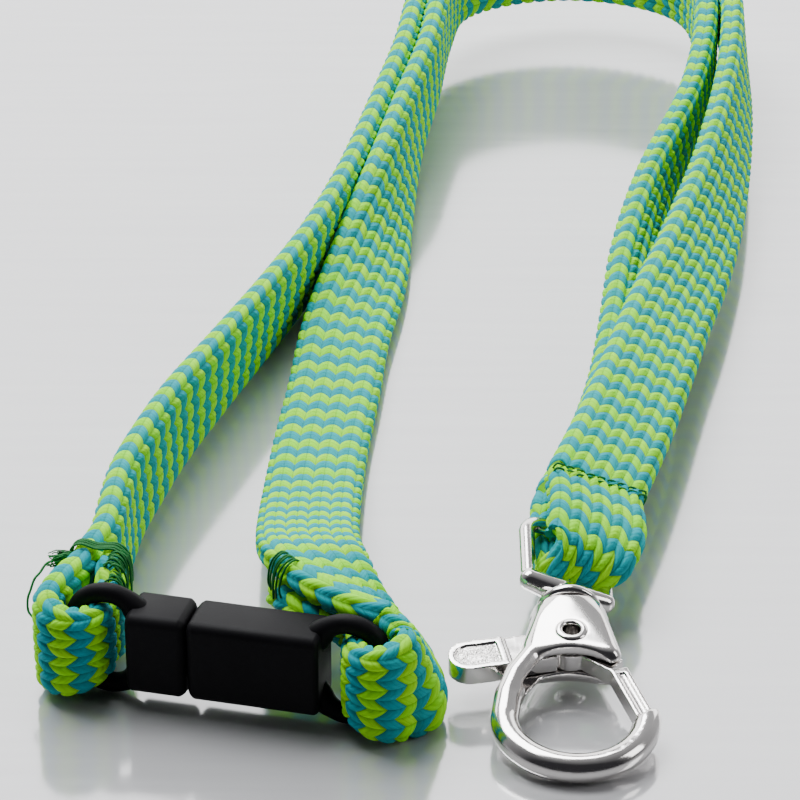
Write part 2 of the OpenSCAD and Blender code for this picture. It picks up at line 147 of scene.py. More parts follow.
def make_piece(name, points, faces, uv=None):
    """One mesh object from points in mm and a list of face arrays, with a UV pair for each
    corner of the faces if they are given."""
    mesh = bpy.data.meshes.new(name)
    in_metres = (np.asarray(points, float) * 0.001).tolist()
    mesh.from_pydata(in_metres, [], sum((f.tolist() for f in faces), []))
    if uv is not None:
        mesh.uv_layers.new(name="UVMap").data.foreach_set("uv", np.asarray(uv, np.float32).ravel())
    mesh.polygons.foreach_set("use_smooth", np.ones(len(mesh.polygons), bool))
    mesh.validate()
    mesh.update()
    piece = bpy.data.objects.new(name, mesh)
    bpy.context.scene.collection.objects.link(piece)
    return piece


STITCH_COLUMNS = 20
POINTS_PER_COLUMN = 5
STITCH_PITCH = 2.5
STITCH_RISE = 1.62
STITCH_RELIEF = 0.62
STITCH_DIP = 0.93
STITCH_ROUNDNESS = 0.8
CORE_INSET = 0.42
BRAID_CROWN = 0.07
FOLD_CROWDING = 1.5
SHARPEST_BEND = 0.32
BEND_SMOOTHING = 13
TABLE_CLEARANCE = 0.02
FINE_RINGS = np.array([0, 0.14, 0.3, 0.5, 0.7, 0.86])
PLAIN_RINGS = np.array([0, 0.22, 0.5, 0.78])


def braid(name, centre, across, width, fine, skew=0.0):
    """A closed flat tube along centre, whose rings are zigzags, so that every stitch has its
    own patch of the grid. Each patch swells as sqrt(1 - x^2) times sqrt(1 - y^2), with x and y
    running from -1 to 1 over the stitch. Stitches crowd by 1 plus the bend times a constant,
    fine(s) says where a stitch gets more rings, and skew slants the rows across the width."""
    steps = np.linalg.norm(np.diff(centre, axis=0), axis=1)
    true_line = np.r_[0, np.cumsum(steps)]
    heading = unit(np.gradient(centre, axis=0))
    bend = np.linalg.norm(np.gradient(heading, axis=0), axis=1) / np.gradient(true_line)
    mean_of = np.ones(BEND_SMOOTHING) / BEND_SMOOTHING
    bend = np.convolve(np.pad(bend, BEND_SMOOTHING // 2, mode="edge"), mean_of, mode="valid")
    crowd = 1 + FOLD_CROWDING * np.clip(bend, 0, SHARPEST_BEND)
    s_line = np.r_[0, np.cumsum(steps * (crowd[1:] + crowd[:-1]) / 2)]
    length = s_line[-1]
    rows = 2 * int(round(length / STITCH_PITCH / 2))
    pitch = length / rows
    starts = np.arange(rows)
    is_fine = fine(starts * pitch)
    v = [k + (FINE_RINGS if f else PLAIN_RINGS) for k, f in zip(starts, is_fine)]
    v = np.concatenate(v + [[rows]])
    around = STITCH_COLUMNS * POINTS_PER_COLUMN
    j = np.arange(around)
    column, x = j // POINTS_PER_COLUMN, (j % POINTS_PER_COLUMN) / POINTS_PER_COLUMN
    tooth = np.where(column % 2 == 0, x, 1 - x) - 0.5
    over_width = (np.abs((j / around - 0.25 + 0.5) % 1 - 0.5) - 0.25) * 4
    mid = np.sqrt(np.clip(np.sin(math.pi * v / rows), 0, 1))[:, None]
    s = v[:, None] * pitch + STITCH_RISE * tooth[None, :] - skew * mid * over_width[None, :]
    inside = np.clip(s, 0, length)

    def along(values):
        flat = [np.interp(inside.ravel(), s_line, values[:, k]) for k in range(values.shape[1])]
        return np.stack(flat, -1).reshape(*s.shape, -1)

    t = unit(along(heading))
    place = along(centre) + t * (s - inside)[..., None]
    side = along(across)
    side = unit(side - t * (side * t).sum(-1, keepdims=True))
    out = np.cross(side, t)
    w = along(width[:, None])[..., 0]
    swell_x = np.sqrt(1 - STITCH_DIP * (2 * x - 1) ** 2)[None, :]
    swell_y = np.sqrt(1 - STITCH_DIP * (2 * (v % 1) - 1) ** 2)[:, None]
    relief = STITCH_RELIEF * (swell_x * swell_y) ** STITCH_ROUNDNESS
    r = STRAP_T / 2 - CORE_INSET
    half = (w - STRAP_T) / 2
    p = (j / around)[None, :] * (4 * half + 2 * math.pi * r)
    arc = math.pi * r
    turn_1, turn_2 = (p - half) / r, (p - 3 * half - arc) / r
    case = [p <= half, p <= half + arc, p <= 3 * half + arc, p <= 3 * half + 2 * arc]
    px = np.select(case, [p, half, 2 * half + arc - p, -half], p - 4 * half - 2 * arc)
    nx = np.select(case, [0 * p, np.sin(turn_1), 0 * p, -np.sin(turn_2)], 0)
    ny = np.select(case, [1 + 0 * p, np.cos(turn_1), -1 + 0 * p, -np.cos(turn_2)], 1)
    crown = 1 + BRAID_CROWN * (1 - (px / np.maximum(half, 1e-6)) ** 2)
    reach = r + relief
    points = (place + side * (px + nx * reach)[..., None]
              + out * (ny * (r * crown + relief))[..., None])
    # Pressed flat where it lies on the table
    points[..., 2] = np.maximum(points[..., 2], TABLE_CLEARANCE)
    rings = len(v)
    quads = tube_faces(rings, around)
    ends = np.stack([place[0].mean(0), place[-1].mean(0)])
    base = rings * around
    j2 = (j + 1) % around
    last = base - around
    fans = np.vstack([np.stack([np.full(around, base), j2, j], 1),
                      np.stack([np.full(around, base + 1), last + j, last + j2], 1)])
    flat = points.reshape(-1, 3)
    if (outward(flat, quads) != quads).any():
        quads, fans = quads[:, ::-1], fans[:, ::-1]
    column_at = np.where(quads % around == 0, 0, quads % around) / POINTS_PER_COLUMN
    wraps = (column_at.max(1) - column_at.min(1) > STITCH_COLUMNS / 2)[:, None]
    column_at = np.where(wraps & (column_at < 1), STITCH_COLUMNS, column_at)
    quad_uv = np.stack([column_at, v[quads // around]], -1).reshape(-1, 2)
    fan_uv = np.tile([0.5, 0.02], (3 * len(fans), 1))
    piece = make_piece(name, np.vstack([flat, ends]), [quads, fans], np.vstack([quad_uv, fan_uv]))
    return piece, true_line[-1]


def route_frames(route):
    """Centre line, direction across the braid and width along a route [x, y, z, roll, width].
    The direction across is cos(roll) of the level sideways direction plus sin(roll) of the
    direction at right angles to it and to the travel."""
    line, _ = even_line(route)
    t = unit(np.gradient(line[:, :3], axis=0))
    level = unit(np.cross(t, [0, 0, 1]))
    rise = np.cross(level, t)
    roll = np.radians(line[:, 3:4])
    return line[:, :3], np.cos(roll) * level + np.sin(roll) * rise, line[:, 4]


def fold_round(bar, start, stop, w1, w2, n=8):
    """Part of a circle about an upright bar at [bar, 0], with its far side stretched, on which
    the braid's width grows from w1 to w2."""
    k = np.linspace(0, 1, n + 1)
    a = np.radians(start + (stop - start) * k)
    y = FOLD_R * np.sin(a) * np.where(np.sin(a) < 0, 1.25, 1)
    return np.stack([bar + FOLD_R * np.cos(a), y, FOLD_DROP * k, 0 * k + 90, w1 + (w2 - w1) * k], 1)


def in_buckle_frame(route):
    """A route given in buckle coordinates, in the object's frame."""
    r = np.asarray(route, float)
    return np.hstack([buckle_place(r[:, :3]), r[:, 3:]])


plug_fold = in_buckle_frame(np.vstack([
    [[PLUG_BAR + 1.9, 11.4, 0, 90, STRAP_W], [PLUG_BAR + 2.1, 8.5, 0, 90, STRAP_W],
     [PLUG_BAR + 3.1, 4.6, 0, 90, 12]],
    fold_round(PLUG_BAR, 20, -200, RING_GATHER_W, FOLD_W),
    [[PLUG_BAR - 2.6, 5, -0.3, 90, FOLD_W], [PLUG_BAR - 2, 9, -0.1, 90, STRAP_W],
     [PLUG_BAR - 1.95, 14, 0, 90, STRAP_W], [PLUG_BAR - 1.95, 18.4, 0, 90, STRAP_W]]]))
left_run = [
    [-46, -74, 8.2, 92], [-43.6, -62, 8.2, 92], [-40.4, -49, 8, 90], [-34.8, -31, 7.6, 86],
    [-28.4, -11, 7.3, 84], [-22.2, 9, 7.6, 84], [-16.6, 31, 8.6, 86], [-11.6, 54, 10.6, 89],
    [-7.2, 76, 12.8, 90], [-4.6, 96, 14.4, 90], [-0.6, 114.8, 14.7, 90], [9.8, 125.2, 14.7, 90],
    [24, 129, 14.7, 90], [38.2, 125.2, 14.7, 90], [48.6, 114.8, 14.7, 90], [52.4, 98, 14.4, 88],
    [51.9, 78, 13.6, 80], [49.4, 56, 12.2, 70], [44.6, 28, 10.8, 56], [38.6, 2, 10.3, 42],
    [33.2, -18, 10.4, 32], [28.6, -37, 10.6, 25], [24.4, -54, 10.7, 22], [20.8, -67, 10.9, 21]]
left_run = np.hstack([left_run, np.full((len(left_run), 1), STRAP_W)])
upper_end = np.r_[eye_place([4, EYE_BAR + 9, 2]), 21, STRAP_W]
outer_centre, outer_across, outer_width = route_frames(np.vstack([plug_fold, left_run, upper_end]))
strap_outer, outer_length = braid("strap_outer", outer_centre, outer_across, outer_width,
                                  lambda s: (s < 95) | (s > 520))


def node(tree, kind, inputs=None, **settings):
    """One shader node, with its settings made and each input given a value or a link."""
    n = tree.nodes.new("ShaderNode" + kind)
    for key, value in settings.items():
        setattr(n, key, value)
    for key, value in (inputs or {}).items():
        if isinstance(value, bpy.types.NodeSocket):
            tree.links.new(value, n.inputs[key])
        else:
            n.inputs[key].default_value = value
    return n


def maths(tree, operation, *values):
    """The result of one Math node."""
    return node(tree, "Math", dict(enumerate(values)), operation=operation).outputs[0]


def mix_colour(tree, factor, a, b):
    """Colour a turned into colour b by a factor from 0 to 1."""
    return node(tree, "Mix", {0: factor, 6: a, 7: b}, data_type="RGBA").outputs[2]


def new_material(name, **constants):
    """A material with one Principled BSDF, whose plain sockets take the constants given."""
    m = bpy.data.materials.new(name)
    m.use_nodes = True
    shader = m.node_tree.nodes["Principled BSDF"]
    for key, value in constants.items():
        shader.inputs[key.replace("_", " ")].default_value = value
    return m, m.node_tree, shader


def new_group(name, inputs, outputs):
    """An empty node group with float inputs and their first values, and float outputs."""
    g = bpy.data.node_groups.new(name, "ShaderNodeTree")
    kind = "NodeSocketFloat"
    for key, value in inputs.items():
        g.interface.new_socket(name=key, in_out="INPUT", socket_type=kind).default_value = value
    for key in outputs:
        g.interface.new_socket(name=key, in_out="OUTPUT", socket_type=kind)
    return g, g.nodes.new("NodeGroupInput"), g.nodes.new("NodeGroupOutput")


def use_group(tree, group, inputs):
    """A group placed in a material, with its own values."""
    n = tree.nodes.new("ShaderNodeGroup")
    n.node_tree = group
    for key, value in inputs.items():
        if isinstance(value, bpy.types.NodeSocket):
            tree.links.new(value, n.inputs[key])
        else:
            n.inputs[key].default_value = value
    return n


# Spun yarn: plies that lie side by side, each a round ridge, with fine fibres along them. Height
# feeds the bump; Shade is painted shade in the hollows between plies, mixed with the fibres' own
# random tone.
yarn, y_in, y_out = new_group("Spun yarn", {"Along": 0.0, "Across": 0.0, "Plies": 3.0},
                              ["Height", "Shade"])
ply_wave = maths(yarn, "SINE", maths(yarn, "MULTIPLY", maths(
    yarn, "MULTIPLY", y_in.outputs["Across"], y_in.outputs["Plies"]), math.pi))
ply_ridge = maths(yarn, "POWER", maths(yarn, "ABSOLUTE", ply_wave), 0.6)
fibre_place = node(yarn, "CombineXYZ", {0: maths(yarn, "MULTIPLY", y_in.outputs["Along"], 3.0),
                                        1: maths(yarn, "MULTIPLY", y_in.outputs["Across"], 34.0)})
fibres = node(yarn, "TexNoise", {"Vector": fibre_place.outputs[0], "Scale": 1.0, "Detail": 3.0,
                                 "Roughness": 0.6})
height = maths(yarn, "ADD", maths(yarn, "MULTIPLY", ply_ridge, 0.7),
               maths(yarn, "MULTIPLY", fibres.outputs[0], 0.6))
yarn.links.new(height, y_out.inputs["Height"])
# Painted shade: the hollows between plies come out darker, with the fibres' random tone on top.
shade = maths(yarn, "ADD", maths(yarn, "MULTIPLY", ply_ridge, 0.35),
              maths(yarn, "MULTIPLY", fibres.outputs[0], 0.65))
yarn.links.new(shade, y_out.inputs["Shade"])

LIME = (0.30, 0.86, 0.002, 1)
TURQUOISE = (0.0008, 0.33, 0.38, 1)
# The groove colour and strength paint shade into the grooves between stitches.
GROOVE_SHADE_GREEN = (0.006, 0.070, 0.020, 1)
GROOVE_SHADE_STRENGTH = 0.45

braid_finish, tree, shader = new_material("braid", Roughness=0.70, Specular_IOR_Level=0.10)
uv = node(tree, "SeparateXYZ", {0: node(tree, "UVMap", uv_map="UVMap").outputs[0]})
u_at, v_at = uv.outputs[0], uv.outputs[1]
column_of, row_of = maths(tree, "FLOOR", u_at), maths(tree, "FLOOR", v_at)
is_turquoise = maths(tree, "MODULO", row_of, 2.0)
stitch_at = node(tree, "CombineXYZ", {0: column_of, 1: row_of}).outputs[0]
stitch = node(tree, "TexWhiteNoise", {"Vector": stitch_at}, noise_dimensions="3D")
x_in = maths(tree, "SUBTRACT", maths(tree, "MULTIPLY", maths(tree, "FRACT", u_at), 2.0), 1.0)
y_in_row = maths(tree, "SUBTRACT", maths(tree, "MULTIPLY", maths(tree, "FRACT", v_at), 2.0), 1.0)
plies = use_group(tree, yarn, {"Along": u_at, "Across": v_at, "Plies": 3.0})
colour = mix_colour(tree, is_turquoise, LIME, TURQUOISE)
# The value carries the yarn's painted shade between plies and its fibre tone; the hue wanders a
# little from stitch to stitch.
varied = node(tree, "HueSaturation", {
    "Hue": maths(tree, "ADD", maths(tree, "MULTIPLY", stitch.outputs[0], 0.016), 0.492),
    "Saturation": 1.0,
    "Value": maths(tree, "ADD", maths(tree, "MULTIPLY", plies.outputs["Shade"], 0.34), 0.80),
    "Color": colour})
# Painted shade: each stitch darkens towards its edges, where the grooves between stitches lie.
edge = maths(tree, "MAXIMUM", maths(tree, "POWER", maths(tree, "ABSOLUTE", x_in), 7.0),
             maths(tree, "POWER", maths(tree, "ABSOLUTE", y_in_row), 7.0))
groove_shaded = mix_colour(tree, maths(tree, "MULTIPLY", edge, GROOVE_SHADE_STRENGTH), varied.outputs[0],
                     GROOVE_SHADE_GREEN)
tree.links.new(groove_shaded, shader.inputs["Base Color"])
bump = node(tree, "Bump", {"Height": plies.outputs["Height"], "Strength": 0.55,
                           "Distance": 0.00016})
tree.links.new(bump.outputs[0], shader.inputs["Normal"])

strap_outer.data.materials.append(braid_finish)
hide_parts("plug_strap_loop", "strap_left_run")
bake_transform(strap_outer)

# ---- Inner half of the strap --------------------------------------------------------------
# The other end of the same braid: a short end from under the strap, doubled round the bar of
# the socket's ring, then flat on the table, up on edge inside the far turn and down to the
# hook, where it is the lower layer.

SOCKET_BAR = 25.2
socket_fold = in_buckle_frame(np.vstack([
    [[11.6, 16.4, 0.5, 12, STRAP_W], [15, 11.9, 0.8, 22, 13.6], [19, 8.3, 0.1, 40, 12.2],
     [21.3, 5.2, -0.6, 66, 11]],
    fold_round(SOCKET_BAR, 165, 340, RING_GATHER_W, FOLD_W),
    [[SOCKET_BAR + 4.2, 0.8, -0.4, 104, FOLD_W], [SOCKET_BAR + 3.7, 3, 0, 112, FOLD_W],
     [SOCKET_BAR + 2.3, 5.1, 0.75, 120, FOLD_W], [SOCKET_BAR - 0.5, 7.4, 2.1, 131, FOLD_W]]]))
right_run = [
    [-11.8, -107.8, 11.3, 141], [-16, -102.8, 12.4, 156], [-19, -95.6, 12.2, 171],
    [-20.3, -87, 9.6, 178], [-20.6, -76, 6.4, 180], [-20.4, -62, 3.4, 180], [-19.6, -46, 2.2, 180],
    [-18, -28, 2.2, 178], [-16.4, -10, 3.2, 170], [-13.2, 9, 5, 146], [-10, 31, 8, 116],
    [-6.9, 54, 10.4, 98], [-3, 76, 12.8, 91], [-0.6, 96, 14.4, 90], [2.9, 112.8, 14.7, 90],
    [11.8, 121.7, 14.7, 90], [24, 125, 14.7, 90], [36.2, 121.7, 14.7, 90], [45.1, 112.8, 14.7, 90],
    [47.9, 98, 14.2, 90], [46.2, 78, 12.4, 88], [41.8, 56, 10.6, 86], [34.6, 28, 9.2, 72],
    [30.6, 2, 8.2, 50], [28.8, -18, 7.2, 34], [26.4, -37, 6.6, 26], [22.8, -54, 6.7, 22],
    [19.3, -67, 7, 21]]
right_run = np.hstack([right_run, np.full((len(right_run), 1), STRAP_W)])
right_run[0, 4] = FOLD_W
lower_end = np.r_[eye_place([4, EYE_BAR + 9, -2]), 21, STRAP_W]
inner_route = np.vstack([socket_fold, right_run, lower_end])
inner_centre, inner_across, inner_width = route_frames(inner_route)
strap_inner, inner_length = braid("strap_inner", inner_centre, inner_across, inner_width,
                                  lambda s: (s < 115) | (s > 530))
strap_inner.data.materials.append(braid_finish)
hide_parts("socket_strap_loop", "strap_right_run")
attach(strap_inner, "lanyard")

# ---- Fold at the hook ---------------------------------------------------------------------
# The middle of the braid, bunched up where it turns round the far bar of the swivel eye. Its
# upper layer spreads out over the eye's right leg, and both layers go on into the strap.

TURN_V = 18.9
TURN_R = 3.1
GATHERED_W = 8.2
ROW_SLANT = -3.8
turn = np.radians(np.linspace(0, 180, 9))
over_leg = np.clip(np.cos(turn), 0, 1)
hook_fold = np.vstack([
    [[4, 33, 2, 14], [3.9, 30.6, 2.4, 14], [3.8, 28, 2.9, 14], [3.6, 25.4, 3.3, 14],
     [3.3, 23, 3.5, 14], [2.9, 20.8, 3.5, 13.6]],
    np.stack([0.4 + 2.1 * over_leg, TURN_V - TURN_R * np.sin(turn), 3.3 * np.cos(turn),
              GATHERED_W + 5.0 * over_leg ** 1.5], 1),
    [[0.3, 21, -3.1, 9.4], [1, 23.4, -3.1, 11], [2.2, 26, -2.9, 12.8], [3.4, 29, -2.4, 14],
     [4, 33, -2, 14]]])
fold_line, _ = even_line(hook_fold, step=0.3)
fold_centre = eye_place(fold_line[:, :3])
eye_side = unit(eye_place([-1.0, 0, 0]) - eye_place([0.0, 0, 0]))
share = np.linspace(0, 1, len(fold_line))[:, None]
fold_across = unit(eye_side + outer_across[-1] * np.clip(1 - share * 6, 0, 1) * 3
                   + inner_across[-1] * np.clip(share * 6 - 5, 0, 1) * 3)
strap_fold, _ = braid("strap_hook_fold", fold_centre, fold_across, fold_line[:, 3],
                      lambda s: s > -1, skew=ROW_SLANT)
strap_fold.data.materials.append(braid_finish)
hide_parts("hook_strap_loop")
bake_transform(strap_fold)

# ---- Sewing -------------------------------------------------------------------------------
# Dark green polyester thread. Overcast stitches bind the doubled ends, two rows close the
# hook's fold, and at the plug a tuft of thread ends and one long loose end stand out.

rng = np.random.default_rng(7)


def rod(path, radius, ref, around=10, ends=3):
    """Points and faces of a round rod along a path. Its rings stand at right angles to the
    path, with ref as the direction they are measured from, and both ends are half balls."""
    path = np.asarray(path, float)
    radius = np.broadcast_to(np.asarray(radius, float), len(path))
    t = unit(np.gradient(path, axis=0))
    a = np.radians(np.linspace(88, 0, ends + 1)[:-1])[:, None]
    head = path[0] - t[0] * radius[0] * np.sin(a)
    tail = (path[-1] + t[-1] * radius[-1] * np.sin(a))[::-1]
    centre = np.vstack([head, path, tail])
    r = np.r_[radius[0] * np.cos(a[:, 0]), radius, radius[-1] * np.cos(a[::-1, 0])]
    t = np.vstack([np.repeat(t[:1], ends, 0), t, np.repeat(t[-1:], ends, 0)])
    side = unit(np.cross(t, np.broadcast_to(ref, t.shape)))
    up = np.cross(side, t)
    phi = np.linspace(0, 2 * math.pi, around, endpoint=False)
    points = (centre[:, None] + side[:, None] * (np.cos(phi)[None, :] * r[:, None])[..., None]
              + up[:, None] * (np.sin(phi)[None, :] * r[:, None])[..., None]).reshape(-1, 3)
    faces = outward(points, tube_faces(len(centre), around))
    last = len(centre) * around
    caps = np.array([np.arange(around)[::-1], np.arange(last - around, last)])
    if (faces[0] != tube_faces(2, around)[0]).any():
        caps = caps[:, ::-1]
    length = np.r_[0, np.cumsum(np.linalg.norm(np.diff(centre, axis=0), axis=1))]
    ring, spot = faces // around, faces % around
    across = spot / around
    wraps = (across.max(1) - across.min(1) > 0.5)[:, None]
    across = np.where(wraps & (across < 0.5), across + 1, across)
    uv = np.stack([length[ring], across], -1).reshape(-1, 2)
    return points, faces, caps, uv


def joined(name, rods):
    """Several rods as the parts of one piece."""
    points, quads, caps, uvs, base = [], [], [], [], 0
    for p, f, c, uv in rods:
        points.append(p)
        quads.append(f + base)
        caps.append(c + base)
        uvs.append(uv)
        base += len(p)
    cap_faces = np.vstack(caps)
    cap_uv = np.zeros((cap_faces.size, 2))
    return make_piece(name, np.vstack(points), [np.vstack(quads), cap_faces],
                      np.vstack([*uvs, cap_uv]))


def thread_line(points, n=20):
    """A smooth line of n points through a few given ones."""
    line, _ = even_line(points, step=0.01)
    return line[np.linspace(0, len(line) - 1, n).astype(int)]


thread_finish, tree, shader = new_material("sewing_thread", Roughness=0.60, Specular_IOR_Level=0.25)
uv = node(tree, "SeparateXYZ", {0: node(tree, "UVMap", uv_map="UVMap").outputs[0]})
twist = maths(tree, "ADD", uv.outputs[1], maths(tree, "MULTIPLY", uv.outputs[0], 0.9))
plies = use_group(tree, yarn, {"Along": uv.outputs[0], "Across": twist, "Plies": 3.0})
# The thread's colour runs from dark in the hollows between plies to bright on their ridges: painted
# shade, with the fibres' random tone.
colour = mix_colour(tree, plies.outputs["Shade"], (0.002, 0.045, 0.010, 1),
                    (0.006, 0.24, 0.040, 1))
tree.links.new(colour, shader.inputs["Base Color"])
bump = node(tree, "Bump", {"Height": plies.outputs["Height"], "Strength": 0.7,
                           "Distance": 0.00008})
tree.links.new(bump.outputs[0], shader.inputs["Normal"])

THREAD_R = 0.15
over_plug = []
for k in range(20):
    y = 4.2 + 0.34 * k + rng.uniform(-0.15, 0.15)
    lean = rng.uniform(-0.9, 0.9)
    right = PLUG_BAR + 4.1 + (0.9 if y < 6 else 0)
    top = STRAP_W / 2 - 0.1 + rng.uniform(-0.05, 0.15) - (1.0 if y < 5.5 else 0)
    low = rng.uniform(0.5, 3.8)
    over_plug.append([[right - 2.2 + rng.uniform(-0.3, 0.3), y - lean, top - 0.3],
                      [right - 1.5, y - 0.5 * lean, top + 0.3], [right - 0.45, y, top - 0.3],
                      [right + 0.12, y + 0.4 * lean, top - 2.0],
                      [right + 0.1, y + 0.8 * lean, low]])
for k in range(5):
    y = 9.3 + 0.42 * k + rng.uniform(-0.25, 0.25)
    lean = rng.uniform(-0.7, 0.7)
    over_plug.append([[PLUG_BAR - 4.2, y + 0.4, 4.6 + 0.3 * rng.uniform(-1, 1)],
                      [PLUG_BAR - 3.8, y + 0.2, 6.5], [PLUG_BAR - 2.4, y, 7.55],
                      [PLUG_BAR - 0.2, y - 0.2 + 0.4 * lean, 7.2],
                      [PLUG_BAR + 2.3, y - 0.4 + 0.8 * lean, 7.5],
                      [PLUG_BAR + 3.9, y - 0.6 + lean, 6.3]])
plug_stitching = joined("plug_stitching", [
    rod(buckle_place(thread_line(p, 22)), THREAD_R, (0.2, 1, 0.1), around=8) for p in over_plug])
plug_stitching.data.materials.append(thread_finish)
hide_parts("plug_stitches")
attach(plug_stitching, "plug")

# The frayed tuft stands at the upper left of the plug's seam.
FIBRE_R = 0.085
hairs = []
root = np.array([PLUG_BAR - 4.1, 8.8, 6.0])
for k in range(60):
    away = np.array([rng.uniform(-2.2, -0.6), rng.uniform(-1.9, 0.2), rng.uniform(-1.6, 0.6)])
    curl = rng.uniform(-0.5, 0.5, 3)
    start = root + rng.uniform(-0.5, 0.5, 3) * [0.4, 1.2, 1]
    hairs.append([start + [0.8, 0, -0.2], start, start + away * 0.5 + curl,
                  start + away * 0.8 + curl * 0.3, start + away + rng.uniform(-0.3, 0.3, 3)])
thread_tuft = joined("thread_tuft", [
    rod(buckle_place(thread_line(p, 10)), FIBRE_R, (0.3, 0.2, 1), around=5, ends=1)
    for p in hairs])
thread_tuft.data.materials.append(thread_finish)
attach(thread_tuft, "plug")

# The long loose end bows out from the tuft and comes back to the outer layer lower down.
BOW_POINTS = 60
LOOSE_THREAD_R = 0.17
bow_line = thread_line([[-19.4, 8.2, 5.9], [-20.6, 7.6, 6.2], [-21.7, 6.2, 5.8], [-22.5, 3.9, 4.8],
                        [-22.9, 2.4, 3.2], [-22.9, 1.8, 1.7], [-22.2, 1.2, 0.8], [-21.0, 0.7, 0.3]],
                       BOW_POINTS)
bow_line[:, 2] += 0.12 * np.sin(np.arange(BOW_POINTS) * 0.5)
loose_end = joined("loose_thread_end", [
    rod(buckle_place(bow_line), LOOSE_THREAD_R, (0.3, 1, 0.2), around=8)])
loose_end.data.materials.append(thread_finish)
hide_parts("loose_thread")
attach(loose_end, "plug")

# Behind the socket the stitches go round the left edge of both layers.
seam = int(np.argmin(np.linalg.norm(inner_centre - [-16.6, -101.8, 12.4], axis=1)))
over_socket = []
for k in range(6):
    i = seam + 2 + int(1.5 * k)
    t = unit(inner_centre[i + 1] - inner_centre[i - 1])
    side = inner_across[i]
    down = np.cross(side, t)
    edge = inner_width[i] / 2
    wander = rng.uniform(-0.4, 0.4)
    low = rng.uniform(-1.2, 0.2)
    local = np.array([[edge - 1.9 + 0.4 * wander, 1.7, -0.6 * wander], [edge - 0.9, 2.1, 0.1],
                      [edge + 0.1, 1.2, 0.3 * wander], [edge + 0.32, -0.4, 0.2 + wander],
                      [edge + 0.2, -2.2, wander], [edge - 0.4, low - 3.0, 1.4 * wander]])
    over_socket.append(inner_centre[i] + local[:, :1] * side - local[:, 1:2] * down
                       + local[:, 2:] * t)
seam_way = unit(inner_centre[seam + 1] - inner_centre[seam - 1])
socket_stitching = joined("socket_stitching", [
    rod(thread_line(p, 20), THREAD_R, seam_way, around=8) for p in over_socket])
socket_stitching.data.materials.append(thread_finish)
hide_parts("socket_stitches")
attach(socket_stitching, "lanyard")

# Two rows of running stitches close the fold above the hook.
across_hook = []
for row in range(2):
    for k in range(9):
        u, v = -2.6 + 1.55 * k, EYE_BAR + 8.2 + 0.9 * row + rng.uniform(-0.1, 0.1)
        across_hook.append([[u, v, 2.6], [u + 0.12, v, 4.05], [u + 0.7, v + 0.12, 4.22],
                            [u + 1.3, v + 0.2, 4.0], [u + 1.42, v + 0.2, 2.6]])
up_eye = eye_place([0, 1.0, 0]) - eye_place([0, 0, 0.0])
hook_stitching = joined("hook_stitching", [
    rod(eye_place(thread_line(p, 14)), THREAD_R, up_eye, around=8) for p in across_hook])
hook_stitching.data.materials.append(thread_finish)
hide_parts("hook_stitches")
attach(hook_stitching, "lanyard")

# ---- Breakaway buckle ---------------------------------------------------------------------
# Two halves moulded in black acetal with a fine spark-eroded texture. Both have soft edges and
# a bevel round the joint, so that a V-shaped groove shows between them, and each has a D ring
# moulded on its end for the braid.

BUCKLE_H = 11.4
BUCKLE_D = 7.6
PLUG_LEN = 8.0
SOCKET_LEN = 17.5
CORNER_R = 1.3
BEVEL_ROUNDNESS = 1.3
RING_R = 1.3
RING_BAR_R = 1.28


def moulded_block(name, stations, corner_points=8):
    """Rounded oblongs [x, half depth, half height, corner radius] joined one after the other
    along x, and closed to a point in the middle of the first and of the last."""
    st = np.asarray(stations, float)
    a = np.radians(np.linspace(0, 90, corner_points))
    cos, sin = np.cos(a), np.sin(a)
    ring_cos = np.concatenate([cos, -sin, -cos, sin])
    ring_sin = np.concatenate([sin, cos, -sin, -cos])
    sx = np.repeat([1, -1, -1, 1], corner_points)
    sy = np.repeat([1, 1, -1, -1], corner_points)
    r = st[:, 3:4]
    y = sx * (st[:, 1:2] - r) + ring_cos * r
    z = sy * (st[:, 2:3] - r) + ring_sin * r
    points = np.stack([np.broadcast_to(st[:, :1], y.shape), y, z], -1).reshape(-1, 3)
    around = 4 * corner_points
    quads = tube_faces(len(st), around)
    faces = outward(points, quads)
    caps = np.array([np.arange(around)[::-1], len(points) - around + np.arange(around)])
    if (faces[0] != quads[0]).any():
        caps = caps[:, ::-1]
    return make_piece(name, buckle_place(points), [faces, caps])


def eased_end(x, inward, reach, depth, half_d, half_h, corner, n=6):
    """Stations over a rounded bevel at x: the outline draws in by depth over a length of reach,
    along a quarter of a superellipse."""
    a = np.linspace(0, math.pi / 2, n)
    draw = depth * (1 - np.clip(np.cos(a), 0, 1) ** BEVEL_ROUNDNESS)
    run = reach * np.sin(a) ** BEVEL_ROUNDNESS
    return np.stack([x + inward * (reach - run), half_d - draw, half_h - draw,
                     np.maximum(corner - 0.5 * draw, 0.3)], 1)


half_d, half_h = BUCKLE_D / 2, BUCKLE_H / 2
plug_stations = np.vstack([
    [[-PLUG_LEN, 0.2, 0.2, 0.15], [-PLUG_LEN, half_d - 0.8, half_h - 0.8, 0.8]],
    eased_end(-PLUG_LEN, 1, 0.7, 0.7, half_d, half_h, CORNER_R)[::-1],
    [[-4, half_d, half_h, CORNER_R]],
    eased_end(-0.1, -1, 1.0, 0.95, half_d, half_h, CORNER_R),
    [[-0.1, half_d - 1.3, half_h - 1.3, 0.5], [-0.1, 0.2, 0.2, 0.15]]])
plug_block = moulded_block("plug_moulding", plug_stations)

